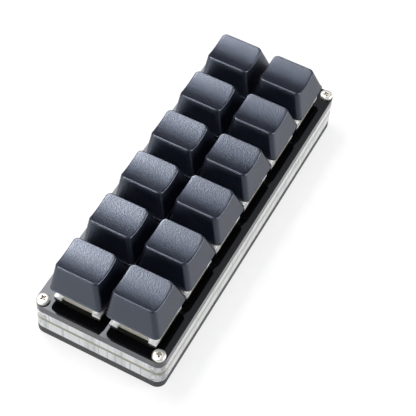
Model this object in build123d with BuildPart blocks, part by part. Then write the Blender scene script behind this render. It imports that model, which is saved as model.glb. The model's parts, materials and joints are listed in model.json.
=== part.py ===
from build123d import *

import os

# A two-row macro keypad: a sandwich of acrylic layers round a circuit board, with a sprung
# mechanical key switch and a keycap at every place of the grid.
# +X runs along the long side, +Y from the user to the rear, +Z up from the table.

# Key grid
key_pitch = 19.05
columns = 6
row_names = ["front", "rear"]
keycap_gap = 0.95
edge_margin = 3.0
corner_radius = 3.0

# Layers of the case, from the table up
foot_height = 1.0
bottom_plate_thickness = 3.0
board_thickness = 1.2
top_plate_thickness = 3.0
spacer_clearance = 0.675
spacer_inner_radius = 2.0
notch_overcut = 0.5

# Corner fasteners
screw_inset = 2.4
screw_diameter = 2.0
screw_clearance = 0.1
screw_grip = 3.0
pan_head_diameter = 4.2
pan_head_height = 1.3
pan_head_rim = 0.5
sunk_head_diameter = 3.8
sunk_head_slope = 45
recess_length = 2.1
recess_width = 0.5
recess_depth = 0.7
standoff_diameter = 3.0
thread_clearance = 0.03

# Rubber feet
foot_diameter = 6.5
foot_edge = 0.25
foot_end_inset = 3.7
foot_side_inset = 7.6

# Key switch housing
cutout_size = 14.0
cutout_clearance = 0.05
base_depth = 5.0
base_to_board = 1.0
base_floor = 1.2
base_wall = 1.2
flange_size = 15.6
flange_thickness = 1.0
flange_notch_width = 10.4
flange_notch_depth = 0.7
housing_rise = 6.6
cover_size = 14.4
cover_top_length = 10.6
cover_top_width = 10.2
cover_corner = 0.9
cover_wall = 1.2
cover_roof = 1.0
latch_length = 5.0
latch_reach = 0.15
latch_height = 0.9
centre_post_diameter = 3.9
centre_post_length = 3.3
post_hole_clearance = 0.1

# Sliding stem
key_travel = 4.0
stop_clearance = 0.05
bottom_clearance = 0.1
slider_length = 7.8
slider_width = 6.4
slider_height = 2.35
neck_length = 6.6
neck_width = 5.9
neck_clearance = 0.3
leg_thickness = 1.1
leg_width = 3.0
rod_diameter = 2.4
rod_clearance = 0.2
rod_engagement = 0.5
cross_length = 4.1
cross_thickness = 1.25
cross_height = 3.6

# Return spring
spring_diameter = 3.7
spring_wire = 0.35
spring_turns = 7
spring_seat_gap = 0.05

# Switch contacts and their solder
contact_width = 1.0
contact_thickness = 0.3
contact_clearance = 0.08
contact_rise = 1.6
contact_gap = 0.35
contact_setback = 0.17
contact_foot_length = 2.54
fixed_pin_x = -3.81
moving_pin_x = 2.54
arm_height = 1.4
pin_tail = 1.1
pin_hole_diameter = 1.3
solder_diameter = 2.2
solder_tip_diameter = 1.2
solder_height = 0.7

# Keycap
pressed_gap = 1.4
cap_height = 9.0
cap_wall = 1.3
cap_roof = 1.4
cap_base_radius = 1.8
cap_top_radius = 1.7
cap_side_inset = 2.9
cap_front_inset = 3.1
cap_rear_inset = 0.7
dish_depth = 0.9
dish_rim = 0.35
cap_post_diameter = 5.5
socket_clearance = 0.03
socket_spare = 0.2

# USB socket
socket_width = 8.94
socket_height = 3.26
socket_depth = 7.3
socket_wall = 0.3
socket_radius = 1.5
socket_to_floor = 0.74
socket_side_gap = 0.35
tongue_width = 6.7
tongue_thickness = 0.7
tongue_recess = 0.8
tongue_block = 1.6
tongue_clearance = 0.02

# Parts on the underside of the board
chip_size = 7.0
chip_thickness = 1.4
chip_standoff = 0.1
chip_y = 2.0
chip_leads = 8
lead_pitch = 0.8
lead_width = 0.35
lead_thickness = 0.2
lead_foot = 0.5
lead_neck = 0.5
diode_length = 2.7
diode_width = 1.6
diode_height = 1.1
diode_tab = 0.5
diode_tab_height = 0.4
diode_offset = 5.6
small_length = 1.6
small_width = 0.8
small_height = 0.5
resistor_spacing = 4.0
resistor_inset = 2.9
capacitor_span_x = 12.6
capacitor_span_y = 6.0

# Plan sizes that follow
rows = len(row_names)
plate_length = columns * key_pitch + 2 * edge_margin
plate_width = rows * key_pitch + 2 * edge_margin
screw_span_x = plate_length - 2 * screw_inset
screw_span_y = plate_width - 2 * screw_inset
spacer_wall = edge_margin + (key_pitch - cutout_size) / 2 - spacer_clearance
notch_width = socket_width + 2 * socket_side_gap
cap_base = key_pitch - keycap_gap
cap_top_length = cap_base - 2 * cap_side_inset
cap_top_width = cap_base - cap_front_inset - cap_rear_inset
cap_top_shift = (cap_front_inset - cap_rear_inset) / 2
base_size = cutout_size - 2 * cutout_clearance
cavity_size = base_size - 2 * base_wall
rod_bore = rod_diameter + 2 * rod_clearance

# Heights that follow
lower_spacer_height = socket_height + socket_to_floor
upper_spacer_height = base_depth + base_to_board - top_plate_thickness
bottom_plate_z = foot_height
lower_spacer_z = bottom_plate_z + bottom_plate_thickness
board_z = lower_spacer_z + lower_spacer_height
upper_spacer_z = board_z + board_thickness
top_plate_z = upper_spacer_z + upper_spacer_height
plate_top_z = top_plate_z + top_plate_thickness
standoff_length = top_plate_z - lower_spacer_z
base_z = plate_top_z - base_depth
base_floor_z = base_z + base_floor
centre_post_z = base_z - centre_post_length
flange_top_z = plate_top_z + flange_thickness
housing_top_z = plate_top_z + housing_rise
cover_roof_z = housing_top_z - cover_roof
slider_top_z = cover_roof_z - stop_clearance
slider_z = slider_top_z - slider_height
leg_end_z = base_floor_z + key_travel + bottom_clearance
rod_end_z = base_floor_z - rod_engagement
pin_end_z = board_z - pin_tail
contact_top_z = flange_top_z + contact_rise
skirt_z = plate_top_z + key_travel + pressed_gap
cap_top_z = skirt_z + cap_height
cap_roof_z = cap_top_z - dish_depth - cap_roof
cap_post_top_z = cap_roof_z + cap_roof / 2
socket_z = board_z - socket_height / 2

# Slope of the switch cover, and the places of the contacts inside it
cover_rise = housing_top_z - flange_top_z
cover_roof_share = (cover_roof_z - flange_top_z) / cover_rise
cover_roof_length = cover_size + (cover_top_length - cover_size) * cover_roof_share
cover_roof_width = cover_size + (cover_top_width - cover_size) * cover_roof_share
contact_share = contact_rise / cover_rise
cover_room = cover_size + (cover_top_width - cover_size) * contact_share - 2 * cover_wall
moving_pin_y = (min(cavity_size, cover_room) - contact_thickness) / 2 - contact_setback
fixed_pin_y = moving_pin_y - contact_foot_length
pin_places = [(fixed_pin_x, fixed_pin_y), (moving_pin_x, moving_pin_y)]

os.makedirs("parts", exist_ok=True)


def save(piece, name):
    """Label a finished piece and write it as its own STEP file."""
    piece.label = name
    export_step(piece, f"parts/{name}.step")


def key_centres():
    """Name and centre of every key, row by row from the user."""
    for row, row_name in enumerate(row_names):
        for column in range(columns):
            x = (column - (columns - 1) / 2) * key_pitch
            y = (row - (rows - 1) / 2) * key_pitch
            yield f"{row_name}_{column + 1}", x, y


def key_grid():
    """Places of the switches."""
    return GridLocations(key_pitch, key_pitch, columns, rows)


def corners():
    """Places of the four corner screws."""
    return GridLocations(screw_span_x, screw_span_y, 2, 2)


def cross_recess(height):
    """Outline of the cross recess of a screw head, at a height."""
    with BuildSketch(Plane.XY.offset(height)) as recess:
        Rectangle(recess_length, recess_width)
        Rectangle(recess_width, recess_length)
    return recess.sketch


# Top plate: black acrylic, cut for the switches
with BuildPart() as top_plate:
    with BuildSketch(Plane.XY.offset(top_plate_z)):
        RectangleRounded(plate_length, plate_width, corner_radius)
        with key_grid():
            Rectangle(cutout_size, cutout_size, mode=Mode.SUBTRACT)
        with corners():
            Circle(screw_diameter / 2 + screw_clearance, mode=Mode.SUBTRACT)
    extrude(amount=top_plate_thickness)
save(top_plate.part, "top_plate")


def spacer_ring():
    """Outline of a clear spacer: a frame with a hole for each standoff."""
    RectangleRounded(plate_length, plate_width, corner_radius)
    RectangleRounded(
        plate_length - 2 * spacer_wall,
        plate_width - 2 * spacer_wall,
        spacer_inner_radius,
        mode=Mode.SUBTRACT,
    )
    with corners():
        Circle(standoff_diameter / 2 + screw_clearance, mode=Mode.SUBTRACT)


# Upper spacer: clear acrylic frame between the board and the top plate
with BuildPart() as upper_spacer:
    with BuildSketch(Plane.XY.offset(upper_spacer_z)):
        spacer_ring()
    extrude(amount=upper_spacer_height)
save(upper_spacer.part, "upper_spacer")

# Lower spacer: clear acrylic frame, open at the rear for the USB socket
with BuildPart() as lower_spacer:
    with BuildSketch(Plane.XY.offset(lower_spacer_z)):
        spacer_ring()
        with Locations((0, plate_width / 2)):
            Rectangle(notch_width, 2 * (spacer_wall + notch_overcut), mode=Mode.SUBTRACT)
    extrude(amount=lower_spacer_height)
save(lower_spacer.part, "lower_spacer")

# Circuit board, as large as the plates, so that its edge shows all round
with BuildPart() as circuit_board:
    with BuildSketch(Plane.XY.offset(board_z)):
        RectangleRounded(plate_length, plate_width, corner_radius)
        with corners():
            Circle(standoff_diameter / 2 + screw_clearance, mode=Mode.SUBTRACT)
        with key_grid():
            Circle(centre_post_diameter / 2 + post_hole_clearance, mode=Mode.SUBTRACT)
            with Locations(*pin_places):
                Circle(pin_hole_diameter / 2, mode=Mode.SUBTRACT)
    extrude(amount=board_thickness)
save(circuit_board.part, "circuit_board")

# Bottom plate: black acrylic, countersunk from below
sunk_head_height = (sunk_head_diameter - screw_diameter) / 2
with BuildPart() as bottom_plate:
    with BuildSketch(Plane.XY.offset(bottom_plate_z)):
        RectangleRounded(plate_length, plate_width, corner_radius)
        with corners():
            Circle(screw_diameter / 2 + screw_clearance, mode=Mode.SUBTRACT)
    extrude(amount=bottom_plate_thickness)
    with BuildSketch(Plane.XY.offset(bottom_plate_z)):
        with corners():
            Circle(sunk_head_diameter / 2 + screw_clearance)
    extrude(amount=sunk_head_height, taper=sunk_head_slope, mode=Mode.SUBTRACT)
save(bottom_plate.part, "bottom_plate")

# Standoffs: round brass tubes that both sets of screws run into
with BuildPart() as standoffs:
    with BuildSketch(Plane.XY.offset(lower_spacer_z)):
        with corners():
            Circle(standoff_diameter / 2)
            Circle(screw_diameter / 2 + thread_clearance, mode=Mode.SUBTRACT)
    extrude(amount=standoff_length)
save(standoffs.part, "standoffs")

# Corner screws: pan heads on the top plate
shank_radius = screw_diameter / 2
pan_head_radius = pan_head_diameter / 2
with BuildPart() as corner_screw:
    with BuildSketch(Plane.XZ):
        with BuildLine():
            Polyline(
                (0, plate_top_z + pan_head_height),
                (0, top_plate_z - screw_grip),
                (shank_radius, top_plate_z - screw_grip),
                (shank_radius, plate_top_z),
                (pan_head_radius, plate_top_z),
                (pan_head_radius, plate_top_z + pan_head_rim),
            )
            TangentArc(
                (0, plate_top_z + pan_head_height),
                (pan_head_radius, plate_top_z + pan_head_rim),
                tangent=(1, 0),
            )
        make_face()
    revolve(axis=Axis.Z)
    recess = cross_recess(plate_top_z + pan_head_height)
    extrude(recess, amount=-recess_depth, mode=Mode.SUBTRACT)
with BuildPart() as corner_screws:
    with corners():
        add(corner_screw.part)
save(corner_screws.part, "corner_screws")

# Bottom screws: countersunk heads, flush with the underside
sunk_head_radius = sunk_head_diameter / 2
sunk_screw_end_z = lower_spacer_z + screw_grip
with BuildPart() as bottom_screw:
    with BuildSketch(Plane.XZ):
        with BuildLine():
            Polyline(
                (0, bottom_plate_z),
                (sunk_head_radius, bottom_plate_z),
                (shank_radius, bottom_plate_z + sunk_head_height),
                (shank_radius, sunk_screw_end_z),
                (0, sunk_screw_end_z),
                close=True,
            )
        make_face()
    revolve(axis=Axis.Z)
    extrude(cross_recess(bottom_plate_z), amount=recess_depth, mode=Mode.SUBTRACT)
with BuildPart() as bottom_screws:
    with corners():
        add(bottom_screw.part)
save(bottom_screws.part, "bottom_screws")

# Rubber feet: soft discs stuck under the corners
foot_span_x = plate_length - 2 * foot_end_inset
foot_span_y = plate_width - 2 * foot_side_inset
with BuildPart() as rubber_feet:
    with BuildSketch():
        with GridLocations(foot_span_x, foot_span_y, 2, 2):
            Circle(foot_diameter / 2)
    extrude(amount=foot_height)
    chamfer(rubber_feet.faces().filter_by(Axis.Z).group_by(Axis.Z)[0].edges(), foot_edge)
save(rubber_feet.part, "rubber_feet")

# Switch bases: open boxes that hang in the top plate by a flange
with BuildPart() as switch_base:
    with BuildSketch(Plane.XY.offset(base_z)):
        Rectangle(base_size, base_size)
    extrude(amount=base_depth)
    with BuildSketch(Plane.XY.offset(plate_top_z)):
        Rectangle(flange_size, flange_size)
        with GridLocations(flange_size, 0, 2, 1):
            Rectangle(2 * flange_notch_depth, flange_notch_width, mode=Mode.SUBTRACT)
    extrude(amount=flange_thickness)
    with BuildSketch(Plane.XY.offset(base_floor_z)):
        Rectangle(cavity_size, cavity_size)
    extrude(amount=flange_top_z - base_floor_z, mode=Mode.SUBTRACT)
    with BuildSketch(Plane.XY.offset(centre_post_z)):
        Circle(centre_post_diameter / 2)
    extrude(amount=centre_post_length)
    with BuildSketch(Plane.XY.offset(centre_post_z)):
        Circle(rod_bore / 2)
    extrude(amount=base_floor_z - centre_post_z, mode=Mode.SUBTRACT)
    with BuildSketch(Plane.XY.offset(base_z)):
        with Locations(*pin_places):
            Rectangle(contact_width + 2 * contact_clearance, contact_thickness + 2 * contact_clearance)
    extrude(amount=base_floor, mode=Mode.SUBTRACT)
with BuildPart() as switch_bases:
    with key_grid():
        add(switch_base.part)
save(switch_bases.part, "switch_bases")

# Switch covers: hollow frustums with an opening for the stem, latched over the base
with BuildPart() as switch_cover:
    with BuildSketch(Plane.XY.offset(flange_top_z)):
        RectangleRounded(cover_size, cover_size, cover_corner)
    with BuildSketch(Plane.XY.offset(housing_top_z)):
        RectangleRounded(cover_top_length, cover_top_width, cover_corner)
    loft()
    with BuildSketch(Plane.XY.offset(flange_top_z)):
        with GridLocations(0, cover_size - cover_wall, 1, 2):
            Rectangle(latch_length, cover_wall + 2 * latch_reach)
    extrude(amount=latch_height)
    with BuildSketch(Plane.XY.offset(flange_top_z)):
        Rectangle(cover_size - 2 * cover_wall, cover_size - 2 * cover_wall)
    with BuildSketch(Plane.XY.offset(cover_roof_z)):
        Rectangle(cover_roof_length - 2 * cover_wall, cover_roof_width - 2 * cover_wall)
    loft(mode=Mode.SUBTRACT)
    with BuildSketch(Plane.XY.offset(cover_roof_z)):
        Rectangle(neck_length + 2 * neck_clearance, neck_width + 2 * neck_clearance)
    extrude(amount=cover_roof, mode=Mode.SUBTRACT)
with BuildPart() as switch_covers:
    with key_grid():
        add(switch_cover.part)
save(switch_covers.part, "switch_covers")

# Fixed contacts: a pin through the board, a foot on the base's floor and an upright leaf
with BuildPart() as fixed_contact:
    with BuildSketch(Plane.XY.offset(pin_end_z)):
        with Locations((fixed_pin_x, fixed_pin_y)):
            Rectangle(contact_width, contact_thickness)
    extrude(amount=base_floor_z - pin_end_z)
    foot_low_y = fixed_pin_y - contact_thickness / 2
    foot_high_y = moving_pin_y + contact_thickness / 2
    with BuildSketch(Plane.XY.offset(base_floor_z)):
        with Locations((fixed_pin_x, (foot_low_y + foot_high_y) / 2)):
            Rectangle(contact_width, foot_high_y - foot_low_y)
    extrude(amount=contact_thickness)
    with BuildSketch(Plane.XY.offset(base_floor_z)):
        with Locations((fixed_pin_x, moving_pin_y)):
            Rectangle(contact_width, contact_thickness)
    extrude(amount=contact_top_z - base_floor_z)
with BuildPart() as fixed_contacts:
    with key_grid():
        add(fixed_contact.part)
save(fixed_contacts.part, "fixed_contacts")

# Moving contacts: an upright pin with an arm that stands just in front of the fixed leaf
arm_y = moving_pin_y - contact_thickness - contact_gap
arm_low_x = fixed_pin_x - contact_width / 2
arm_high_x = moving_pin_x + contact_width / 2
arm_z = contact_top_z - arm_height
with BuildPart() as moving_contact:
    with BuildSketch(Plane.XY.offset(pin_end_z)):
        with Locations((moving_pin_x, moving_pin_y)):
            Rectangle(contact_width, contact_thickness)
    extrude(amount=contact_top_z - pin_end_z)
    with BuildSketch(Plane.XY.offset(arm_z)):
        with Locations(((arm_low_x + arm_high_x) / 2, arm_y)):
            Rectangle(arm_high_x - arm_low_x, contact_thickness)
        with Locations((arm_high_x - contact_thickness / 2, (arm_y + moving_pin_y) / 2)):
            Rectangle(contact_thickness, moving_pin_y - arm_y + contact_thickness)
    extrude(amount=arm_height)
with BuildPart() as moving_contacts:
    with key_grid():
        add(moving_contact.part)
save(moving_contacts.part, "moving_contacts")

# Solder joints: a cone of solder round every pin under the board
with BuildPart() as solder_joint:
    with BuildSketch(Plane.XY.offset(board_z)):
        Circle(solder_diameter / 2)
    with BuildSketch(Plane.XY.offset(board_z - solder_height)):
        Circle(solder_tip_diameter / 2)
    loft()
    with BuildSketch(Plane.XY.offset(board_z)):
        Rectangle(contact_width, contact_thickness)
    extrude(amount=-solder_height, mode=Mode.SUBTRACT)
with BuildPart() as solder_joints:
    with key_grid():
        with Locations(*pin_places):
            add(solder_joint.part)
save(solder_joints.part, "solder_joints")

# Stem: the slider that carries the keycap, with its cross, guide rod and stop legs
with BuildPart() as stem:
    with BuildSketch(Plane.XY.offset(slider_z)):
        Rectangle(slider_length, slider_width)
    extrude(amount=slider_height)
    with BuildSketch(Plane.XY.offset(slider_top_z)):
        Rectangle(neck_length, neck_width)
    extrude(amount=housing_top_z - slider_top_z)
    with BuildSketch(Plane.XY.offset(housing_top_z)):
        Rectangle(cross_length, cross_thickness)
        Rectangle(cross_thickness, cross_length)
    extrude(amount=cross_height)
    with BuildSketch(Plane.XY.offset(slider_z)):
        Circle(rod_diameter / 2)
    extrude(amount=rod_end_z - slider_z)
    with BuildSketch(Plane.XY.offset(slider_z)):
        with GridLocations(slider_length - leg_thickness, 0, 2, 1):
            Rectangle(leg_thickness, leg_width)
    extrude(amount=leg_end_z - slider_z)


def helix_point(turn):
    """Point of the spring's helix after a number of turns."""
    low_z = base_floor_z + spring_seat_gap + spring_wire / 2
    high_z = slider_z - spring_seat_gap - spring_wire / 2
    around = Vector(spring_diameter / 2, 0, 0).rotate(Axis.Z, 360 * turn)
    return around + Vector(0, 0, low_z + (high_z - low_z) * turn / spring_turns)


def helix_tangent(turn, step=1e-4):
    """Direction of the helix there."""
    return (helix_point(turn + step) - helix_point(turn - step)).normalized()


def biarc(start, start_way, end, end_way):
    """Two arcs that leave start and reach end in the given directions, tangent where they meet."""
    span = end - start
    ways = start_way + end_way
    along = span.dot(ways)
    spread = 4 - ways.dot(ways)
    reach = ((along**2 + spread * span.dot(span)) ** 0.5 - along) / spread
    start_knot = start + start_way * reach
    end_knot = end - end_way * reach
    middle = (start_knot + end_knot) * 0.5
    TangentArc(start, middle, tangent=start_way)
    TangentArc(middle, end, tangent=end_knot - start_knot)


# Spring: a wire helix from the base's floor to the underside of the slider
with BuildPart() as spring:
    with BuildLine() as spring_line:
        for quarter in range(4 * spring_turns):
            begin = quarter / 4
            finish = (quarter + 1) / 4
            biarc(helix_point(begin), helix_tangent(begin), helix_point(finish), helix_tangent(finish))
    with BuildSketch(Plane(origin=helix_point(0), z_dir=helix_tangent(0))):
        Circle(spring_wire / 2)
    sweep()

# Least gap between one turn of the spring and the next
samples_per_turn = 24
sample_turns = [step / samples_per_turn for step in range(samples_per_turn * spring_turns + 1)]
sample_points = [helix_point(turn) for turn in sample_turns]
least_gap = min(
    (one - other).length - spring_wire
    for place, one in enumerate(sample_points)
    for other in sample_points[place + samples_per_turn // 2 :]
)
print(f"least gap between the turns of a spring: {least_gap:.2f} mm")


def cap_outline(height, inset=0):
    """Rounded outline of a keycap at a height above its skirt, drawn in by an inset."""
    share = height / cap_height
    length = cap_base + (cap_top_length - cap_base) * share
    width = cap_base + (cap_top_width - cap_base) * share
    radius = cap_base_radius + (cap_top_radius - cap_base_radius) * share
    inner_radius = max(radius - inset, radius / 3)
    with BuildSketch(Plane.XY.offset(skirt_z + height)) as outline:
        with Locations((0, cap_top_shift * share)):
            RectangleRounded(length - 2 * inset, width - 2 * inset, inner_radius)
    return outline.sketch


# Keycap: a sloping hollow cap, dished along the row, with a cross socket in its post
dish_half = cap_top_length / 2 - dish_rim
dish_radius = (dish_half**2 + dish_depth**2) / (2 * dish_depth)
with BuildPart() as keycap:
    loft([cap_outline(0), cap_outline(cap_height)])
    hollow_height = cap_roof_z - skirt_z
    loft([cap_outline(0, cap_wall), cap_outline(hollow_height, cap_wall)], mode=Mode.SUBTRACT)
    with BuildSketch(Plane.XZ):
        with Locations((0, cap_top_z - dish_depth + dish_radius)):
            Circle(dish_radius)
    extrude(amount=cap_base, both=True, mode=Mode.SUBTRACT)
    with BuildSketch(Plane.XY.offset(housing_top_z)):
        Circle(cap_post_diameter / 2)
    extrude(amount=cap_post_top_z - housing_top_z)
    with BuildSketch(Plane.XY.offset(housing_top_z)):
        Rectangle(cross_length + 2 * socket_clearance, cross_thickness + 2 * socket_clearance)
        Rectangle(cross_thickness + 2 * socket_clearance, cross_length + 2 * socket_clearance)
    extrude(amount=cross_height + socket_spare, mode=Mode.SUBTRACT)

# One keycap, stem and spring at every key
for name, x, y in key_centres():
    for kind, master in (("keycap", keycap), ("stem", stem), ("spring", spring)):
        with BuildPart() as placed:
            with Locations((x, y)):
                add(master.part)
        save(placed.part, f"{kind}_{name}")

# USB shell: a rounded metal tube under the board, its mouth flush with the rear edge
rear_edge = Plane.XZ.offset(-plate_width / 2)
with BuildPart() as usb_shell:
    with BuildSketch(rear_edge):
        with Locations((0, socket_z)):
            RectangleRounded(socket_width, socket_height, socket_radius)
            RectangleRounded(
                socket_width - 2 * socket_wall,
                socket_height - 2 * socket_wall,
                socket_radius - socket_wall,
                mode=Mode.SUBTRACT,
            )
    extrude(amount=socket_depth)
save(usb_shell.part, "usb_shell")

# USB tongue: the contact blade and the block that closes the back of the shell
block_inset = socket_wall + tongue_clearance
with BuildPart() as usb_tongue:
    with BuildSketch(rear_edge.offset(tongue_recess)):
        with Locations((0, socket_z)):
            Rectangle(tongue_width, tongue_thickness)
    extrude(amount=socket_depth - tongue_recess)
    with BuildSketch(rear_edge.offset(socket_depth - tongue_block)):
        with Locations((0, socket_z)):
            RectangleRounded(
                socket_width - 2 * block_inset,
                socket_height - 2 * block_inset,
                socket_radius - block_inset,
            )
    extrude(amount=tongue_block)
save(usb_tongue.part, "usb_tongue")

# Controller chip: a square package with bent leads on its four sides
chip_top_z = board_z - chip_standoff
lead_z = chip_top_z - chip_thickness / 2
with BuildPart() as controller_chip:
    with BuildSketch(Plane.XY.offset(chip_top_z)):
        with Locations((0, chip_y)):
            Rectangle(chip_size, chip_size)
    extrude(amount=-chip_thickness)
    for turn in range(4):
        side = Plane((0, chip_y, 0)).rotated((0, 0, 90 * turn))
        with BuildSketch(side.offset(board_z)):
            with Locations((chip_size / 2 + lead_neck + lead_foot / 2, 0)):
                with GridLocations(0, lead_pitch, 1, chip_leads):
                    Rectangle(lead_foot, lead_width)
        extrude(amount=-lead_thickness)
        with BuildSketch(side.offset(board_z)):
            with Locations((chip_size / 2 + lead_neck, 0)):
                with GridLocations(0, lead_pitch, 1, chip_leads):
                    Rectangle(lead_thickness, lead_width)
        extrude(amount=lead_z - board_z)
        with BuildSketch(side.offset(lead_z)):
            with Locations((chip_size / 2 + lead_neck / 2, 0)):
                with GridLocations(0, lead_pitch, 1, chip_leads):
                    Rectangle(lead_neck + lead_thickness, lead_width)
        extrude(amount=lead_thickness)
save(controller_chip.part, "controller_chip")

# Signal diodes: one beside each switch
with BuildPart() as signal_diodes:
    with BuildSketch(Plane.XY.offset(board_z)):
        with key_grid():
            with Locations((0, -diode_offset)):
                Rectangle(diode_length, diode_width)
    extrude(amount=-diode_height)
    with BuildSketch(Plane.XY.offset(board_z)):
        with key_grid():
            with Locations((0, -diode_offset)):
                Rectangle(diode_length + 2 * diode_tab, diode_width / 2)
    extrude(amount=-diode_tab_height)
save(signal_diodes.part, "signal_diodes")

# Resistors: a pair behind the USB socket
socket_back_y = plate_width / 2 - socket_depth
with BuildPart() as socket_resistors:
    with BuildSketch(Plane.XY.offset(board_z)):
        with Locations((0, socket_back_y - resistor_inset)):
            with GridLocations(resistor_spacing, 0, 2, 1):
                Rectangle(small_width, small_length)
    extrude(amount=-small_height)
save(socket_resistors.part, "socket_resistors")

# Capacitors: one beside each corner of the chip
with BuildPart() as chip_capacitors:
    with BuildSketch(Plane.XY.offset(board_z)):
        with Locations((0, chip_y)):
            with GridLocations(capacitor_span_x, capacitor_span_y, 2, 2):
                Rectangle(small_width, small_length)
    extrude(amount=-small_height)
save(chip_capacitors.part, "chip_capacitors")
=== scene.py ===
# %% [markdown]
# # Macro keypad
# Twelve sloping keycaps stand on sprung switches, in a sandwich of black and clear acrylic sheets.
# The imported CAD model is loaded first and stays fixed, and every piece below takes its place from the
# boxes of its nodes. Modelling by eye would be quicker at first, but then the sizes would drift.

# %% Load the frame
import json
import math

import bpy
import numpy as np
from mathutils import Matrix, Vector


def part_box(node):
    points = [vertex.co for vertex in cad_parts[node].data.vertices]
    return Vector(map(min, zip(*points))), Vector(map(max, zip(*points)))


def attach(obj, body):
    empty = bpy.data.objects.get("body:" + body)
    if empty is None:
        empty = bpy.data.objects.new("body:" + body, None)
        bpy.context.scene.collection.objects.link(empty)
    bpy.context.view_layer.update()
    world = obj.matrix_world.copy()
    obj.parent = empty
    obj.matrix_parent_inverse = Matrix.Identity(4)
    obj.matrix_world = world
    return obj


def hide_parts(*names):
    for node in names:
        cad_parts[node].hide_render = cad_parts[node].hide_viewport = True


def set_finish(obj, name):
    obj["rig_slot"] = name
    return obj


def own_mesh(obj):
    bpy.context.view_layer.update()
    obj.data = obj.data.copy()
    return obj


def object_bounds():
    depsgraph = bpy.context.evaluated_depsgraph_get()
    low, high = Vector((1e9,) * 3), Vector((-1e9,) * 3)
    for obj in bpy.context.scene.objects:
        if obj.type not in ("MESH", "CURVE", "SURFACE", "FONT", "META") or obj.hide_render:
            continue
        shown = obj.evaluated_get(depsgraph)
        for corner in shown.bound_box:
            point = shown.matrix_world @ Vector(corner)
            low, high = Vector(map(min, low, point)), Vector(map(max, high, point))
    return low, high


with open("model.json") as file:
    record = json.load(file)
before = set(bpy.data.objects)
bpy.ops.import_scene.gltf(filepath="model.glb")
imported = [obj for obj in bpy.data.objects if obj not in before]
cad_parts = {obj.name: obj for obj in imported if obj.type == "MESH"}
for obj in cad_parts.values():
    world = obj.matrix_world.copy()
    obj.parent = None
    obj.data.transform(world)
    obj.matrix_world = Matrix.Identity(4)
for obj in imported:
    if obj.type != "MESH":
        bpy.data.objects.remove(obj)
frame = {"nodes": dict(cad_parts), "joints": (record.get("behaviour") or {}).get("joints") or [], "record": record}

cad_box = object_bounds()
keys = [joint["name"].removeprefix("press_") for joint in frame["joints"]]
cad_size = [round(1000 * (high - low), 1) for low, high in zip(*cad_box)]
print(f"{len(frame['nodes'])} CAD nodes, {len(keys)} keys, box {cad_size} mm")

# %% [markdown]
# ## Turning arrays into meshes
# Each new piece is one or more closed skins. A skin is a stack of rings, all with the same number of
# points, that starts and ends in a single point. Joining neighbouring rings with quads and the two end
# points with fans closes it, so nothing has to be welded afterwards. The enclosed volume tells whether
# the faces look outwards: a negative one means that the rings ran the other way.

# %% A mesh from closed skins
sharp_angle = math.radians(38)


def corners_of(node):
    """Low and high corner of a CAD node's box, as arrays in metres."""
    return tuple(np.array(corner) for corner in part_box(node))


def ring_stack(x, y, z):
    """Rings of points from three arrays of one shape, or that broadcast to one."""
    return np.stack(np.broadcast_arrays(x, y, z), -1)


def skin_faces(rows, columns):
    """Faces of a skin: quads between each ring and the next, round and round, and a fan at each end."""
    ring = 1 + np.arange(rows * columns).reshape(rows, columns)
    beside = np.roll(ring, -1, axis=1)
    quads = np.stack([ring[:-1], ring[1:], beside[1:], beside[:-1]], -1).reshape(-1, 4)
    start, end = np.zeros(columns, int), np.full(columns, 1 + rows * columns)
    first_fan = np.stack([start, ring[0], beside[0]], -1)
    last_fan = np.stack([ring[-1], end, beside[-1]], -1)
    return quads, np.concatenate([first_fan, last_fan])


def enclosed_volume(points, quads, fans):
    """Sum of the tetrahedra from the origin to each triangle, positive when the faces look outwards."""
    triangles = np.concatenate([quads[:, [0, 1, 2]], quads[:, [0, 2, 3]], fans])
    a, b, c = points[triangles].transpose(1, 0, 2)
    return np.einsum("ij,ij->", a, np.cross(b, c)) / 6


def make_piece(name, skins, body, slot_name):
    """One object from several skins, each given as (start point, rings, end point), riding on a body."""
    points, faces = [], []
    for start, rings, end in skins:
        rows, columns, _ = rings.shape
        skin = np.concatenate([[start], rings.reshape(-1, 3), [end]])
        quads, fans = skin_faces(rows, columns)
        step = -1 if enclosed_volume(skin - skin.mean(0), quads, fans) < 0 else 1
        first = sum(map(len, points))
        faces += (quads[:, ::step] + first).tolist() + (fans[:, ::step] + first).tolist()
        points.append(skin)
    mesh = bpy.data.meshes.new(name)
    mesh.from_pydata(np.concatenate(points).tolist(), [], faces)
    mesh.shade_smooth()
    mesh.set_sharp_from_angle(angle=sharp_angle)
    piece = bpy.data.objects.new(name, mesh)
    bpy.context.scene.collection.objects.link(piece)
    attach(piece, body)
    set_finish(piece, slot_name)
    return piece


print(f"edges over {math.degrees(sharp_angle):.0f} degrees stay sharp")

# %% [markdown]
# ## Keycaps
# A keycap is moulded: four drafted walls, the rear one almost upright, with rounded corners and a top
# that is dished like a piece of a cylinder. A box with a Bevel modifier would round every edge alike.
# Here one outline function gives the rounded rectangle at any height, and the rings walk from the middle
# of the dish over the edge, down the wall, round the lip and up inside, so wall and hollow share a skin.

# %% Keycap outline
cap_low, cap_high = corners_of(f"keycap_{keys[0]}")
cap_base, _, cap_height = cap_high - cap_low
cap_skirt = cap_low[2]
side_inset, front_inset, rear_inset = 0.0029, 0.0031, 0.0007
base_radius, top_radius = 0.0018, 0.0017
least_radius = base_radius / 4
corner_steps, side_steps = 12, 12


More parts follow.
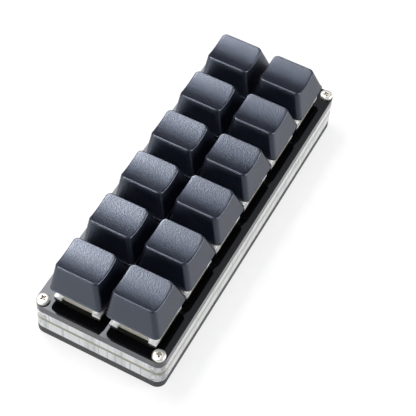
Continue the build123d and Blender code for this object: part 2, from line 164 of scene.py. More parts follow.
def outline_ways():
    """For each point of a rounded rectangle, which corner centre it belongs to, from -1 to 1 on each axis,
    and its outward way: a quarter circle at each corner, then even steps along the side to the next one."""
    centres, ways = [], []
    turn = np.linspace(0, math.pi / 2, corner_steps + 1)
    along = np.linspace(1, -1, side_steps + 1)[1:-1]
    for quarter in range(4):
        angle = turn + quarter * math.pi / 2
        centre = np.sign([math.cos(angle.mean()), math.sin(angle.mean())])
        way = np.stack([np.cos(angle), np.sin(angle)], -1)
        across = np.array([-way[-1, 1], way[-1, 0]])
        side = np.abs(way[-1]) * centre - np.outer(along, across)
        centres += [np.broadcast_to(centre, way.shape), side]
        ways += [way, np.broadcast_to(way[-1], side.shape)]
    return np.concatenate(centres), np.concatenate(ways)


corner_of, way_of = outline_ways()


def cap_ring(share, inset):
    """Rounded rectangle at a share of the cap's height: the base drawn in by each wall's draft times
    that share, and then by the inset all round."""
    share, inset = np.broadcast_arrays(share, inset)
    half_x = cap_base / 2 - side_inset * share - inset
    front = -cap_base / 2 + front_inset * share + inset
    rear = cap_base / 2 - rear_inset * share - inset
    radius = np.maximum(base_radius + (top_radius - base_radius) * share - inset, least_radius)
    x = corner_of[:, 0] * (half_x - radius) + radius * way_of[:, 0]
    y = (front + rear) / 2 + corner_of[:, 1] * ((rear - front) / 2 - radius) + radius * way_of[:, 1]
    return x, y


print(f"keycap {1000 * cap_base:.2f} mm wide, {1000 * cap_height:.2f} mm high, {len(way_of)} points a ring")

# %% Keycap dish
dish_depth, dish_rim = 0.0009, 0.0003
dish_half = cap_base / 2 - side_inset - dish_rim


def dish_height(x):
    """Height of the dished top: lowest along the middle line, rising with the square of x to the rims."""
    return cap_high[2] - dish_depth * (1 - np.minimum(np.abs(x) / dish_half, 1) ** 2)


print(f"dish {1000 * dish_depth:.1f} mm deep over {2000 * dish_half:.1f} mm")

# %% Keycap skin
cap_wall, cap_roof = 0.0013, 0.0014
edge_radius, lip_radius = 0.00038, 0.0003
edge_end_sine, edge_fade = 0.3, 8
dish_rings, edge_rings, lip_rings = 20, 7, 9
# Shares of the way down the wall, up the hollow and out to its walls, closest where the skin bends.
wall_falls = np.concatenate([[0.02], np.linspace(0.08, 0.94, 10), [0.99]])[:, None]
hollow_climbs = np.linspace(0.1, 1, 6)[:, None]
roof_shares = np.linspace(0.92, 0.15, 4)[:, None]


def keycap_skin():
    """Rings over the dish, the edge round, the wall, the lip, the inner wall and the roof of the hollow.
    The edge round is an arc inwards and upwards from the wall, and what is left of its inset where it
    meets the wall fades out downwards. The lip is half an ellipse from the outer wall to the inner one."""
    edge_x, edge_y = cap_ring(np.array([[1.0]]), edge_radius)
    edge_z = dish_height(edge_x)
    middle_y = (front_inset - rear_inset) / 2
    shrink = np.linspace(0, 1, dish_rings + 2)[1:-1, None]
    top = ring_stack(shrink * edge_x, middle_y + shrink * (edge_y - middle_y), dish_height(shrink * edge_x))

    swing = np.linspace(math.pi / 2, math.asin(edge_end_sine), edge_rings)[:, None]
    round_z = edge_z - edge_radius * (1 - np.sin(swing))
    round_inset = edge_radius * (1 - np.cos(swing))
    edge_round = ring_stack(*cap_ring((round_z - cap_skirt) / cap_height, round_inset), round_z)

    wall_foot = cap_skirt + lip_radius
    wall_z = round_z[-1] + wall_falls * (wall_foot - round_z[-1])
    wall_inset = round_inset[-1] * (1 - wall_falls) ** edge_fade
    wall = ring_stack(*cap_ring((wall_z - cap_skirt) / cap_height, wall_inset), wall_z)

    bend = np.linspace(0, math.pi, lip_rings)[:, None]
    lip_z = cap_skirt + lip_radius * (1 - np.sin(bend))
    lip = ring_stack(*cap_ring(0, cap_wall / 2 * (1 - np.cos(bend))), lip_z)

    roof_z = cap_high[2] - dish_depth - cap_roof
    inner_z = wall_foot + hollow_climbs * (roof_z - wall_foot)
    inner_x, inner_y = cap_ring((inner_z - cap_skirt) / cap_height, cap_wall)
    inner = ring_stack(inner_x, inner_y, inner_z)
    roof = ring_stack(roof_shares * inner_x[-1], roof_shares * inner_y[-1], roof_z)
    rings = np.concatenate([top, edge_round, wall, lip, inner, roof])
    return (0, middle_y, dish_height(0)), rings, (0, 0, roof_z)


print(f"{len(keycap_skin()[1])} rings from the dish to the roof of the hollow")

# %% [markdown]
# ### Keycap post
# Inside each cap a round post takes the stem's cross. It is hidden until a cap is seen from below, but
# then a plain stub would look wrong. Two crossed boxes cut out with a Boolean would do it. Written as a
# radius over the angle, the plus is the larger of its two bars, and the post stays a stack of rings.

# %% Keycap post
post_radius, cross_height, socket_spare = 0.00275, 0.0036, 0.0002
cross_arm, cross_half_width = 0.00208, 0.00066
knot_steps, nearly_zero = 4, 1e-9
stem_top = corners_of(f"stem_{keys[0]}")[1][2]


def post_skin():
    """A round post with a plus-shaped socket. Each bar's radius is the smaller of its two half sizes over
    the cosine and sine of the angle, and the plus has the larger of the two bars' radii."""
    arm_angle = math.atan2(cross_half_width, cross_arm)
    knots = np.array([0, arm_angle, math.pi / 4, math.pi / 2 - arm_angle, math.pi / 2])
    steps = np.arange((len(knots) - 1) * knot_steps) / knot_steps
    quarter = np.interp(steps, np.arange(len(knots)), knots)
    angle = (quarter + np.arange(4)[:, None] * math.pi / 2).ravel()
    cosine, sine = np.maximum(np.abs([np.cos(angle), np.sin(angle)]), nearly_zero)
    bar_x = np.minimum(cross_arm / cosine, cross_half_width / sine)
    bar_y = np.minimum(cross_half_width / cosine, cross_arm / sine)
    plus = np.maximum(bar_x, bar_y)
    outside = np.full_like(plus, post_radius)
    foot, seat = stem_top - cross_height, stem_top + socket_spare
    head = cap_high[2] - dish_depth - cap_roof / 2
    radius = np.stack([outside, outside, plus, plus])
    height = np.array([head, foot, foot, seat])[:, None]
    rings = ring_stack(radius * np.cos(angle), radius * np.sin(angle), height)
    return (0, 0, head), rings, (0, 0, seat)


print(f"post {2000 * post_radius:.1f} mm thick, socket {1000 * (cross_height + socket_spare):.1f} mm deep")

# %% Place the keycaps
keycaps = []
cap_skins = keycap_skin(), post_skin()
for key in keys:
    low, high = corners_of(f"keycap_{key}")
    centre = np.array([(low[0] + high[0]) / 2, (low[1] + high[1]) / 2, 0])
    skins = [[np.asarray(part) + centre for part in skin] for skin in cap_skins]
    keycap = make_piece(f"cap_{key}", skins, f"key_{key}", "keycap_plastic")
    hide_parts(f"keycap_{key}")
    keycaps.append(keycap)
print(f"{len(keycaps)} keycaps of {len(keycaps[0].data.polygons)} faces")

# %% [markdown]
# ## Return springs
# Under every stem a small coil of steel wire pushes the key back up. A Screw modifier could wind it,
# but a helix is one line of numpy: a point that goes round while it climbs. The wire is a circle carried
# along that path, standing across it.

# %% Wind the springs
wire_radius, spring_turns, steps_a_turn, wire_sides = 0.000175, 7, 28, 10


def spring_skin(low, high):
    """A circle of wire carried along a helix that fills the box from its low corner to its high one."""
    axis = (low + high) / 2
    coil_radius = (high[0] - low[0]) / 2 - wire_radius
    climb = high[2] - low[2] - 2 * wire_radius
    slope = climb / (2 * math.pi * spring_turns * coil_radius)
    share = np.linspace(0, 1, spring_turns * steps_a_turn + 1)[:, None]
    angle = 2 * math.pi * spring_turns * share
    outward = np.concatenate([np.cos(angle), np.sin(angle), 0 * angle], 1)
    centre = coil_radius * outward + [axis[0], axis[1], low[2] + wire_radius] + share * [0, 0, climb]
    ahead = np.concatenate([-np.sin(angle), np.cos(angle), np.full_like(angle, slope)], 1)
    ahead /= np.linalg.norm(ahead, axis=1, keepdims=True)
    upward = np.cross(ahead, outward)
    around = np.linspace(0, 2 * math.pi, wire_sides, endpoint=False)[:, None]
    section = np.cos(around) * outward[:, None] + np.sin(around) * upward[:, None]
    return centre[0], centre[:, None] + wire_radius * section, centre[-1]


springs = []
for key in keys:
    low, high = corners_of(f"spring_{key}")
    spring = make_piece(f"coil_{key}", [spring_skin(low, high)], "case", "spring_steel")
    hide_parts(f"spring_{key}")
    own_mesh(spring)
    springs.append(spring)

# %% [markdown]
# ## Corner screws
# The pan heads catch the light, so the cross recess has to be a real hollow with sloping arms.
# Cutting it with a Boolean leaves long thin faces. A height over radius and angle is smoother: a dome,
# less the deeper of two tapering grooves. Below the head the same rings go on as the plain shank.

# %% Cross recess
head_radius, head_rings, head_sides = 0.0021, 44, 120
recess_depth, recess_reach, recess_half_width, recess_slope = 0.0006, 0.0011, 0.00028, 0.00016
head_angles = np.linspace(0, 2 * math.pi, head_sides, endpoint=False)
head_radii = head_radius * np.linspace(0, 1, head_rings + 1)[1:, None]


def groove(along, across):
    """Depth of one bar of the cross: deepest in the middle, less by the square of the way along the bar,
    and brought to nothing over the slope of its walls by the smooth step 3 w squared less 2 w cubed."""
    depth = recess_depth * (1 - (np.abs(along) / recess_reach) ** 2)
    wall = np.clip((recess_half_width - np.abs(across)) / recess_slope + 0.5, 0, 1)
    return np.maximum(depth, 0) * wall * wall * (3 - 2 * wall)


def cross_recess(turn):
    """Depth of the recess over the head's radii and angles: the deeper of two grooves at right angles."""
    along, across = head_radii * np.cos(head_angles - turn), head_radii * np.sin(head_angles - turn)
    return np.maximum(groove(along, across), groove(across, along))


print(f"recess {2000 * recess_reach:.1f} mm across in a head of {2000 * head_radius:.1f} mm")

# %% Turn the screws
head_rim, dome_power, shank_radius = 0.0005, 4, 0.001
seat_round, tip_chamfer, tip_share = 0.0001, 0.0002, 0.8
# Each screw came to rest at a turn of its own, in radians, here by its end and side of the case.
screw_turns = {(-1, 1): 0.95, (-1, -1): 0.35, (1, -1): 0.6, (1, 1): 0.2}
plate_top = corners_of("top_plate")[1][2]
screw_low, screw_high = corners_of("corner_screws")
span_x, span_y = (screw_high - screw_low)[:2] / 2 - head_radius
seat_radii = np.array([head_radius, head_radius - seat_round, shank_radius, shank_radius,
                       tip_share * shank_radius])[:, None]
seat_heights = np.array([plate_top + seat_round, plate_top, plate_top, screw_low[2] + tip_chamfer,
                         screw_low[2]])[:, None]


def screw_skin(centre_x, centre_y, turn):
    """Dome with a cross recess as a height over radius and angle, then the rim, the seat and the shank.
    The dome falls with the root of 1 less the fourth power of the radius, so it is flat in the middle."""
    dome = (screw_high[2] - plate_top - head_rim) * np.sqrt(1 - (head_radii / head_radius) ** dome_power)
    head_z = plate_top + head_rim + dome - cross_recess(turn)
    radius = np.concatenate([head_radii, seat_radii])
    height = np.concatenate([head_z, seat_heights + 0 * head_angles])
    x = centre_x + radius * np.cos(head_angles)
    y = centre_y + radius * np.sin(head_angles)
    recess_floor = screw_high[2] - recess_depth
    return (centre_x, centre_y, recess_floor), ring_stack(x, y, height), (centre_x, centre_y, screw_low[2])


def recess_shade(turn):
    """How deep each point of a screw's skin lies in the recess, from 0 on the dome to 1 at the bottom."""
    cut = cross_recess(turn) / recess_depth
    return np.concatenate([[1.0], cut.ravel(), np.zeros(len(seat_radii) * head_sides + 1)])


skins = [screw_skin(end * span_x, side * span_y, turn) for (end, side), turn in screw_turns.items()]
screws = make_piece("pan_head_screws", skins, "case", "nickel_steel")
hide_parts("corner_screws")
# The depth in the recess is kept on the points for the dirt and painted shade of the nickel finish.
shade = screws.data.attributes.new("recess", "FLOAT", "POINT")
shade.data.foreach_set("value", np.concatenate([recess_shade(turn) for turn in screw_turns.values()]))
screw_faces = len(screws.data.polygons) // len(skins)
print(f"{len(skins)} screws of {screw_faces} faces, {1000 * span_x:.2f} and {1000 * span_y:.2f} mm out")

# %% [markdown]
# ## Finishes
# A finish is a small graph of nodes round one Principled shader. Noise on the object's own coordinates,
# in metres, gives each surface its grain, so the pattern stays put when a key moves. A photographed
# texture would be quicker, but it would need unwrapping and would repeat on all twelve keys.

# %% Patterns
finishes = {}
noise_low, noise_high = 0.3, 0.7
even = (1, 1, 1)
pebble_edge = 0.8


def new_finish(slot_name, name, **sockets):
    """An empty finish for a slot: its node tree, its shader with the given sockets set, and the object's
    coordinates."""
    material = bpy.data.materials.new(name)
    material.use_nodes = True
    finishes[slot_name] = material
    tree = material.node_tree
    shader = tree.nodes["Principled BSDF"]
    for socket, value in sockets.items():
        shader.inputs[socket.replace("_", " ")].default_value = value
    return tree, shader, tree.nodes.new("ShaderNodeTexCoord").outputs["Object"]


def grain(tree, place, size, stretch=even, detail=3.0):
    """Noise with blotches of about the given size in metres, drawn out along an axis by its stretch."""
    scaling = tree.nodes.new("ShaderNodeMapping")
    scaling.inputs["Scale"].default_value = [1 / (size * pull) for pull in stretch]
    noise = tree.nodes.new("ShaderNodeTexNoise")
    noise.inputs["Scale"].default_value = 1.0
    noise.inputs["Detail"].default_value = detail
    tree.links.new(place, scaling.inputs["Vector"])
    tree.links.new(scaling.outputs["Vector"], noise.inputs["Vector"])
    return noise.outputs["Fac"]


def spread(tree, factor, low, high, start=noise_low, stop=noise_high):
    """A number that goes from low to high as the factor goes from start to stop, and stays at the ends."""
    node = tree.nodes.new("ShaderNodeMapRange")
    for socket, value in (("From Min", start), ("From Max", stop), ("To Min", low), ("To Max", high)):
        node.inputs[socket].default_value = value
    tree.links.new(factor, node.inputs["Value"])
    return node.outputs["Result"]


def cells(tree, place, size):
    """Rounded pebbles of about the given size in metres: 1 in the middle of each, less towards its edge."""
    stones = tree.nodes.new("ShaderNodeTexVoronoi")
    stones.inputs["Scale"].default_value = 1 / size
    tree.links.new(place, stones.inputs["Vector"])
    return spread(tree, stones.outputs["Distance"], 1, 0, 0, pebble_edge)


print(f"noise counts from {noise_low} to {noise_high}")

# %% [markdown]
# ### Keycap plastic
# The caps come out of a spark-eroded mould, which leaves a fine pebbled skin on near-black plastic.
# Noise makes such a skin look wrinkled, because its hills run into each other. Round cells of under half
# a millimetre stay apart, so they give the tone and the relief, and a broad noise only shifts the gloss.
# Real displacement would need millions of faces for the same look.

# %% Keycap finish
pebble_size, pebble_depth, cloud_size = 0.00044, 0.000022, 0.006
between_tone, pebble_tone = (0.001, 0.0013, 0.004), (0.004, 0.005, 0.013)
cap_smooth, cap_rough = 0.34, 0.4


def tint(tree, factor, first, second):
    """A colour between two, by a factor from 0 to 1. Each is a tone or the output of another tint."""
    node = tree.nodes.new("ShaderNodeMix")
    node.data_type = "RGBA"
    colours = [socket for socket in node.inputs if socket.type == "RGBA"]
    for socket, colour in zip(colours, (first, second)):
        if isinstance(colour, tuple):
            socket.default_value = (*colour, 1)
        else:
            tree.links.new(colour, socket)
    tree.links.new(factor, node.inputs["Factor"])
    return next(socket for socket in node.outputs if socket.type == "RGBA")


def dress(tree, shader, colour, roughness, height, depth):
    """Joins a colour, a roughness and bumps to the shader. The bumps come from a height factor, and their
    depth is in metres."""
    bump = tree.nodes.new("ShaderNodeBump")
    bump.inputs["Distance"].default_value = depth
    tree.links.new(height, bump.inputs["Height"])
    tree.links.new(colour, shader.inputs["Base Color"])
    tree.links.new(roughness, shader.inputs["Roughness"])
    tree.links.new(bump.outputs["Normal"], shader.inputs["Normal"])


tree, shader, place = new_finish("keycap_plastic", "keycap_pebbled_black",
                                 Specular_IOR_Level=1.0, Specular_Tint=(0.72, 0.81, 1, 1))
pebble = cells(tree, place, pebble_size)
skin_tone = tint(tree, spread(tree, pebble, 0, 1), between_tone, pebble_tone)
gloss = spread(tree, grain(tree, place, cloud_size), cap_smooth, cap_rough)
dress(tree, shader, skin_tone, gloss, pebble, pebble_depth)
print(f"pebbles {1000 * pebble_size:.2f} mm wide")

# %% [markdown]
# ### Black acrylic
# The sheets are cast acrylic cut by laser. Their faces are polished like glass, while the cut edges are
# duller, the bottom plate's most of all, and keep fine upright streaks. The bottom plate's edges are also
# painted darker, as the shade where the case meets the table. Two material slots could part faces from
# edges. The normal does it alone: it points up or down on a face and sideways on an edge.

# %% Sums, vectors and the cut edges
edge_lean, face_lean = 0.2, 0.8


def joined(tree, operation, one, other):
    """Sum, product, smaller or larger of two factors, by the name of the operation."""
    node = tree.nodes.new("ShaderNodeMath")
    node.operation = operation
    tree.links.new(one, node.inputs[0])
    tree.links.new(other, node.inputs[1])
    return node.outputs["Value"]


def vector_step(tree, operation, vector, *constants):
    """One vector operation on an output, with constants in the node's other inputs."""
    node = tree.nodes.new("ShaderNodeVectorMath")
    node.operation = operation
    tree.links.new(vector, node.inputs[0])
    for socket, constant in zip(node.inputs[1:], constants):
        socket.default_value = constant
    return node.outputs["Value" if operation == "LENGTH" else "Vector"]


def axes_of(tree, vector):
    """The X, Y and Z outputs of a vector taken apart."""
    node = tree.nodes.new("ShaderNodeSeparateXYZ")
    tree.links.new(vector, node.inputs["Vector"])
    return node.outputs


def edge_mask(tree):
    """1 on upright cut edges and 0 on flat faces, from how far the normal leans out of the vertical."""
    normal = tree.nodes.new("ShaderNodeNewGeometry").outputs["Normal"]
    upright = axes_of(tree, vector_step(tree, "ABSOLUTE", normal))["Z"]
    return spread(tree, upright, 1, 0, edge_lean, face_lean)


print(f"normals {math.degrees(math.acos(edge_lean)):.0f} degrees or more off the vertical are cut edges")

# %% Black acrylic finish
acrylic_index, black_gloss = 1.49, 0.45
face_tone = (0.002, 0.002, 0.0024)
top_edge_tone, bottom_edge_shade_tone = (0.08, 0.081, 0.094), (0.03, 0.03, 0.034)
face_smooth, face_rough, cut_smooth, cut_rough, bottom_dullness = 0.025, 0.06, 0.06, 0.16, 0.4
haze_size, cut_size, cut_stretch, cut_depth = 0.011, 0.0005, (1, 1, 40), 0.00002
sheet_step = 0.0001
tree, shader, place = new_finish("black_acrylic", "acrylic_black",
                                 IOR=acrylic_index, Specular_IOR_Level=black_gloss)
edge = edge_mask(tree)
cut_streak = grain(tree, place, cut_size, cut_stretch)
bottom_end = corners_of("bottom_plate")[1][2]
lower = spread(tree, axes_of(tree, place)["Z"], 1, 0, bottom_end + sheet_step, bottom_end + 2 * sheet_step)
# The bottom plate's edges take the darker tone: painted shade where the case meets the table.
sheet_tone = tint(tree, edge, face_tone, tint(tree, lower, top_edge_tone, bottom_edge_shade_tone))
dullness = spread(tree, lower, 0, bottom_dullness, 0, 1)
cut_gloss = joined(tree, "ADD", dullness, spread(tree, cut_streak, cut_smooth, cut_rough))
face_gloss = spread(tree, grain(tree, place, haze_size), face_smooth, face_rough)
gloss = joined(tree, "ADD", face_gloss, joined(tree, "MULTIPLY", edge, cut_gloss))
dress(tree, shader, sheet_tone, gloss, joined(tree, "MULTIPLY", edge, cut_streak), cut_depth)
print(f"edges below {1000 * bottom_end:.1f} mm are duller")

# %% [markdown]
# ### Clear acrylic
# Seen from the side, the two clear sheets are bright bands: their cut edges scatter the light, crossed by
# broad shades and fine streaks, and round the screws the metal inside shows as a blurred swirl, which is a
# painted reflection. Pure glass would only show the dark inside of the case. So the finish is milky and lets
# little light through, and its pattern is flat in each sheet, which makes the streaks run straight up the edges.

# %% Clear acrylic finish
clear_share = 0.16
shade_tone, glow_tone = (0.48, 0.49, 0.51), (0.97, 0.975, 0.98)
band_size, band_detail, streak_size, swirl_size = 0.005, 2.0, 0.0011, 0.0014
band_darkest, band_starts, band_ends = 0.7, 0.42, 0.5
streak_darkest, streak_starts, streak_ends = 0.4, 0.36, 0.42
swirl_darkest, swirl_starts, swirl_ends = 0.1, 0.42, 0.54
metal_reach, metal_fade = 0.0027, 0.0036
clear_smooth, clear_rough, streak_depth = 0.05, 0.16, 0.00006
pattern_shift = 0.1


def flat_in_each_sheet(tree, place):
    """The object's coordinates with the height left out, and the pattern shifted from sheet to sheet."""
    axes = axes_of(tree, place)
    board_low, board_high = corners_of("circuit_board")
    board_middle = (board_low[2] + board_high[2]) / 2
    flat = tree.nodes.new("ShaderNodeCombineXYZ")
    tree.links.new(axes["X"], flat.inputs["X"])
    tree.links.new(axes["Y"], flat.inputs["Y"])
    sheet = spread(tree, axes["Z"], 0, pattern_shift, board_middle - sheet_step, board_middle + sheet_step)
    tree.links.new(sheet, flat.inputs["Z"])
    return flat.outputs["Vector"]


def from_screws(tree, place):
    """Distance in plan from the axis of the nearest corner screw, in metres: the coordinates without their
    signs, less the place of one screw."""
    mirrored = vector_step(tree, "ABSOLUTE", place)
    offset = vector_step(tree, "MULTIPLY_ADD", mirrored, (1, 1, 0), (-span_x, -span_y, 0))
    return vector_step(tree, "LENGTH", offset)


tree, shader, place = new_finish("clear_acrylic", "acrylic_clear",
                                 IOR=acrylic_index, Transmission_Weight=clear_share)
flat = flat_in_each_sheet(tree, place)
streak = grain(tree, flat, streak_size)
band = grain(tree, flat, band_size, detail=band_detail)
bands = spread(tree, band, band_darkest, 1, band_starts, band_ends)
streaks = spread(tree, streak, streak_darkest, 1, streak_starts, streak_ends)
# Painted reflection: round each corner screw the metal inside shows as a darker swirl in the colour.
swirl = spread(tree, grain(tree, place, swirl_size), swirl_darkest, 1, swirl_starts, swirl_ends)
clear_of_metal = spread(tree, from_screws(tree, place), 0, 1, metal_reach, metal_fade)
painted_metal_reflection = joined(tree, "MAXIMUM", swirl, clear_of_metal)
bright = joined(tree, "MULTIPLY", joined(tree, "MULTIPLY", bands, streaks), painted_metal_reflection)
gloss = spread(tree, streak, clear_smooth, clear_rough)
dress(tree, shader, tint(tree, bright, shade_tone, glow_tone), gloss, streak, streak_depth)
print(f"streaks {1000 * streak_size:.1f} mm and shades {1000 * band_size:.1f} mm wide")

# %% [markdown]
# ### Switch housings
# The housings are moulded in milky white. Their corners catch the light past the caps. The middle of each
# side is painted a darker cream, as the shade of the cap over it, and deep between the caps, where hardly any
# light gets down, the housings are painted near black. A bake of the shade would show the same, but it needs
# an image. Distances from the middle lines and from the outside of the key block are enough.

# %% Housing finish
# The corner tone is the housing's own white. The side tone and the deep tone are painted shade.
corner_tone, side_shade_tone, deep_shade_tone = (0.94, 0.935, 0.92), (0.5, 0.475, 0.41), (0.03, 0.03, 0.032)
side_ends, corner_starts = 0.0047, 0.0055
shade_starts, shade_ends = 0.0025, 0.0055
housing_grain, housing_smooth, housing_rough, housing_depth = 0.0016, 0.3, 0.45, 0.000012


def from_middle_lines(tree, place):
    """Distance in plan from the nearer of a switch's two middle lines: the coordinates wrapped into one
    cell of the key grid, less the middle of that cell, without their signs."""
    first, second = (sum(corners_of(f"keycap_{key}")) / 2 for key in keys[:2])
    pitch = second[0] - first[0]
    shifted = vector_step(tree, "SUBTRACT", place, (first[0] - pitch / 2, first[1] - pitch / 2, 0))
    cell = vector_step(tree, "WRAP", shifted, (pitch, pitch, 1), (0, 0, -1))
    about = vector_step(tree, "SUBTRACT", cell, (pitch / 2, pitch / 2, 0))
    axes = axes_of(tree, vector_step(tree, "ABSOLUTE", about))
    return joined(tree, "MINIMUM", axes["X"], axes["Y"])


def from_outside(tree, place, node):
    """Distance in plan from the nearest side of a node's box, in metres, growing inwards: half the box,
    less the coordinates without their signs."""
    low, high = corners_of(node)
    size = vector_step(tree, "ABSOLUTE", place)
    axes = axes_of(tree, vector_step(tree, "MULTIPLY_ADD", size, (-1, -1, -1), (high - low) / 2))
    return joined(tree, "MINIMUM", axes["X"], axes["Y"])


tree, shader, place = new_finish("housing_white", "housing_milky_white")
speck = grain(tree, place, housing_grain)
# Painted shade: the middle of each side turns a darker cream, as under the overhang of the cap.
side_shade_share = spread(tree, from_middle_lines(tree, place), 1, 0, side_ends, corner_starts)
# Painted shade: deep inside the key block, where no light gets down, the housings turn near black.
deep_shade_share = spread(tree, from_outside(tree, place, "switch_bases"), 0, 1, shade_starts, shade_ends)
milky = tint(tree, deep_shade_share, tint(tree, side_shade_share, corner_tone, side_shade_tone), deep_shade_tone)
dress(tree, shader, milky, spread(tree, speck, housing_smooth, housing_rough), speck, housing_depth)
print(f"housings shaded from {1000 * shade_starts:.1f} mm inside the key block")

# %% [markdown]
# ### Nickel
# The screws and the socket's shell are nickel plated, not polished, and the cross recess is painted darker,
# as dirt and the shade inside it. Ambient occlusion could find the recess, but it depends on what stands
# around. The depth of the groove is known from the shape, so it was stored on the points, and here it is read
# back.

# %% Nickel finish
plating_dark, plating_pale, recess_dirt_and_shade_tone = (0.76, 0.745, 0.71), (0.86, 0.85, 0.82), (0.34, 0.295, 0.25)
plating_grain, plating_smooth, plating_rough, plating_depth = 0.0008, 0.44, 0.56, 0.000006
dirt_and_shade_starts, dirt_and_shade_ends = 0.05, 0.45
tree, shader, place = new_finish("nickel_steel", "nickel_plated", Metallic=1.0)
recess = tree.nodes.new("ShaderNodeAttribute")
recess.attribute_name = "recess"
# Dirt and painted shade: the deeper a point lies in the recess, the darker its colour.
dirt_and_shade = spread(tree, recess.outputs["Fac"], 0, 1, dirt_and_shade_starts, dirt_and_shade_ends)
speck = grain(tree, place, plating_grain)
plating = tint(tree, spread(tree, speck, 0, 1), plating_dark, plating_pale)
gloss = spread(tree, speck, plating_smooth, plating_rough)
dress(tree, shader, tint(tree, dirt_and_shade, plating, recess_dirt_and_shade_tone), gloss, speck, plating_depth)
print(f"dirt on points deeper than {1000 * dirt_and_shade_starts * recess_depth:.2f} mm")

# %% [markdown]
# ### Metals, stems, board and small parts
# The rest are close relatives: grey stems, turned brass, stamped sheet, drawn wire, solder, laminate with
# its glass weave, rubber, epoxy and ceramic. Each could have a graph of its own, but little of them shows.
# So each takes the common finish with its own grain, stretched where a tool or a die left lines.

# %% Other finishes


def common_finish(slot_name, name, size, dark, pale, smooth, rough, depth, stretch=even, **sockets):
    """Two close tones, a range of roughness and a fine relief, all from one grain of the given size."""
    tree, shader, place = new_finish(slot_name, name, **sockets)
    speck = grain(tree, place, size, stretch)
    colour = tint(tree, spread(tree, speck, 0, 1), dark, pale)
    dress(tree, shader, colour, spread(tree, speck, smooth, rough), speck, depth)
    return tree, shader, place


common_finish("stem_plastic", "stem_grey", size=0.0009, dark=(0.56, 0.55, 0.52), pale=(0.66, 0.65, 0.62),
              smooth=0.3, rough=0.42, depth=0.00001)
common_finish("brass", "brass_turned", size=0.0003, dark=(0.7, 0.5, 0.2), pale=(0.86, 0.68, 0.34),
              smooth=0.18, rough=0.34, depth=0.000006, stretch=(12, 12, 1), Metallic=1.0)
common_finish("contact_brass", "contact_sheet_brass", size=0.0004, dark=(0.74, 0.58, 0.28),
              pale=(0.86, 0.72, 0.42), smooth=0.22, rough=0.36, depth=0.000004, stretch=(1, 1, 8),
              Metallic=1.0)
common_finish("spring_steel", "spring_wire", size=0.00025, dark=(0.52, 0.52, 0.53), pale=(0.7, 0.7, 0.71),
              smooth=0.24, rough=0.4, depth=0.000004, Metallic=1.0)
common_finish("solder", "solder_bright", size=0.0005, dark=(0.6, 0.6, 0.61), pale=(0.78, 0.78, 0.78),
              smooth=0.2, rough=0.42, depth=0.00001, Metallic=1.0)
common_finish("board_laminate", "board_glass_laminate", size=0.0007, dark=(0.26, 0.255, 0.18),
              pale=(0.42, 0.41, 0.31), smooth=0.4, rough=0.6, depth=0.00001, stretch=(1, 1, 0.3))
common_finish("foot_rubber", "foot_soft_rubber", size=0.0006, dark=(0.022, 0.022, 0.023),
              pale=(0.036, 0.036, 0.037), smooth=0.7, rough=0.85, depth=0.00002, Specular_IOR_Level=0.3)
common_finish("chip_black", "chip_epoxy", size=0.0002, dark=(0.022, 0.022, 0.024), pale=(0.04, 0.04, 0.042),
              smooth=0.5, rough=0.65, depth=0.00001)
common_finish("ceramic_tan", "capacitor_ceramic", size=0.0003, dark=(0.46, 0.34, 0.22),
              pale=(0.6, 0.47, 0.33), smooth=0.35, rough=0.5, depth=0.000006)
print(f"{len(finishes)} finishes")

# %% Put the finishes on
slots = {part["node"]: part["material_slot"] for part in frame["record"]["subparts"]}
for node, piece in frame["nodes"].items():
    piece.data.materials.clear()
    piece.data.materials.append(finishes[slots[node]])
for piece in (*keycaps, *springs, screws):
    piece.data.materials.append(finishes[piece["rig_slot"]])
print(f"finishes on {len(slots)} nodes and {len(keycaps) + len(springs) + 1} new pieces")

# %% [markdown]
# ## Room and table
# The keypad lies on a plain white table, in a room that is white along the horizon and dim overhead. The
# table looks white to the lens, to mirrors and to glass, while as a lamp it stays dim, and its lift grows
# with the distance, so that it meets the horizon without a seam. Raising the lamps until the table burns
# out would be simpler, but it would grey the blacks.

# %% Room
room_white, room_dim, white_below, dim_above = 1.0, 0.05, 0.0, 0.12
world = bpy.data.worlds.new("white_room")
bpy.context.scene.world = world
world.use_nodes = True
room = world.node_tree
background = room.nodes["Background"]
background.inputs["Color"].default_value = (1, 1, 1, 1)
direction = axes_of(room, room.nodes.new("ShaderNodeTexCoord").outputs["Generated"])
level = spread(room, direction["Z"], room_white, room_dim, white_below, dim_above)
room.links.new(level, background.inputs["Strength"])
print(f"room from {room_white} along the horizon to {room_dim} overhead")

# %% Table
table_white, table_change, table_reach = 0.16, 0.01, 2.5
table_lift, far_lift, lift_starts, lift_ends = 0.78, 1, 0.15, 0.6


def seen_directly(tree):
    """1 for rays that show a surface to the lens, in a reflection or through glass, and 0 for rays that
    light it."""
    path = tree.nodes.new("ShaderNodeLightPath").outputs
    mirrored = joined(tree, "MAXIMUM", path["Is Camera Ray"], path["Is Glossy Ray"])
    return joined(tree, "MAXIMUM", mirrored, path["Is Transmission Ray"])


table_mesh = bpy.data.meshes.new("table")
table_corners = table_reach * np.array([(-1, -1, 0), (1, -1, 0), (1, 1, 0), (-1, 1, 0)])
table_mesh.from_pydata(table_corners.tolist(), [], [(0, 1, 2, 3)])
table = bpy.data.objects.new("table", table_mesh)
bpy.context.scene.collection.objects.link(table)
tree, shader, place = common_finish(
    "table", "table_white", size=0.004, dark=(table_white - table_change,) * 3,
    pale=(table_white + table_change,) * 3, smooth=0.6, rough=0.7, depth=0.00001,
    Specular_IOR_Level=0.2, Emission_Color=(1, 1, 1, 1))
lift = spread(tree, vector_step(tree, "LENGTH", place), table_lift, far_lift, lift_starts, lift_ends)
tree.links.new(joined(tree, "MULTIPLY", lift, seen_directly(tree)), shader.inputs["Emission Strength"])
table.data.materials.append(finishes["table"])
print(f"table {2 * table_reach:.0f} m across")

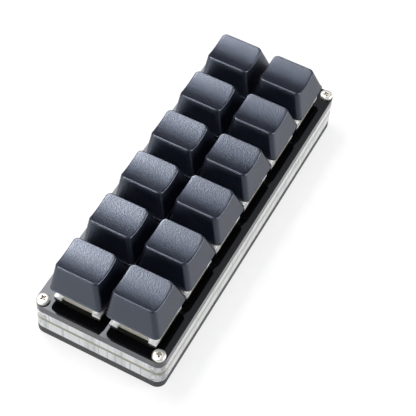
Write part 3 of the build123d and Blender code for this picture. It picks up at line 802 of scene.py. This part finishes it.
# %% [markdown]
# ## Lamps
# A long softbox over the rear side gives the dished tops their grey sheen and the soft shadow in front.
# Two panels further off are there for the plate: a polished black sheet shows little but what it mirrors,
# a bright panel at one end and a faint one along the side. Three fills open up the walls. One dome of
# light would be simpler, but then tops, walls and plate would all turn the same grey.

# %% Lamps
warm, cool, cooler, near_white = (1.0, 0.965, 0.93), (0.96, 0.98, 1.0), (0.88, 0.92, 1.0), (0.98, 0.99, 1.0)
case_middle = (0, 0, 0)


def soft_lamp(name, place, aim, sizes, power, colour):
    """A rectangular area lamp at a place, turned to shine at a point, its first size along the keypad."""
    lamp = bpy.data.lights.new(name, "AREA")
    lamp.shape = "RECTANGLE"
    lamp.size, lamp.size_y = sizes
    lamp.energy, lamp.color = power, colour
    holder = bpy.data.objects.new(name, lamp)
    bpy.context.scene.collection.objects.link(holder)
    away = np.array(place, float) - aim
    away /= np.linalg.norm(away)
    across = np.cross((0, 1, 0), away)
    across /= np.linalg.norm(across)
    turned = np.eye(4)
    turned[:3] = np.stack([across, np.cross(away, across), away, place], 1)
    holder.matrix_world = turned.T.tolist()
    return holder


lamps = [
    soft_lamp("strip_softbox", place=(0.06, 0.41, 0.78), aim=(-0.015, 0, 0), sizes=(0.5, 0.2), power=9.0,
              colour=warm),
    soft_lamp("rear_softbox", place=(0.52, 0.3, 0.8), aim=(0.52, 0.3, 0), sizes=(0.46, 0.12), power=1.6,
              colour=cooler),
    soft_lamp("rear_glow", place=(0.55, 0.185, 0.8), aim=(0.55, 0.185, 0), sizes=(0.6, 0.1), power=0.11,
              colour=cooler),
    soft_lamp("front_fill", place=(-0.45, 0.0, 0.75), aim=case_middle, sizes=(0.4, 0.4), power=2.3,
              colour=cool),
    soft_lamp("left_fill", place=(-0.75, 0.45, 0.14), aim=case_middle, sizes=(0.24, 0.5), power=3.6,
              colour=cool),
    soft_lamp("side_fill", place=(0.35, -0.75, 0.4), aim=case_middle, sizes=(0.6, 0.5), power=6.2,
              colour=near_white),
]
print(f"{len(lamps)} lamps, {sum(lamp.data.energy for lamp in lamps):.1f} W together")

# %% [markdown]
# ## Camera
# The camera stands where the photograph was taken from. Turning it by eye until the edges fit would do for
# a sketch. Its place, turn and focal length were solved instead, from the corners of the keycaps on their
# grid, so that what still differs is a matter of shape or finish and not of the view.

# %% Camera
view_azimuth, view_elevation, view_roll = (math.radians(angle) for angle in (-65.979, 53.479, 4.725))
view_distance, view_target = 0.436887, np.array([-0.003255, -0.006989, plate_top])
focal_length, sensor_width = 120.38, 36.0
back = np.array([
    math.sin(view_azimuth) * math.cos(view_elevation),
    -math.cos(view_azimuth) * math.cos(view_elevation),
    math.sin(view_elevation),
])
level_right = np.array([math.cos(view_azimuth), math.sin(view_azimuth), 0])
level_up = np.cross(back, level_right)
right = math.cos(view_roll) * level_right + math.sin(view_roll) * level_up
up = math.cos(view_roll) * level_up - math.sin(view_roll) * level_right
pose = np.eye(4)
pose[:3] = np.stack([right, up, back, view_target + view_distance * back], 1)
lens = bpy.data.cameras.new("camera")
lens.lens, lens.sensor_width = focal_length, sensor_width
camera = bpy.data.objects.new("camera", lens)
bpy.context.scene.collection.objects.link(camera)
camera.matrix_world = pose.T.tolist()
bpy.context.scene.camera = camera
bpy.context.scene.view_settings.view_transform = "Standard"
print(f"camera {1000 * view_distance:.0f} mm from the plate, lens {lens.lens:.1f} mm")
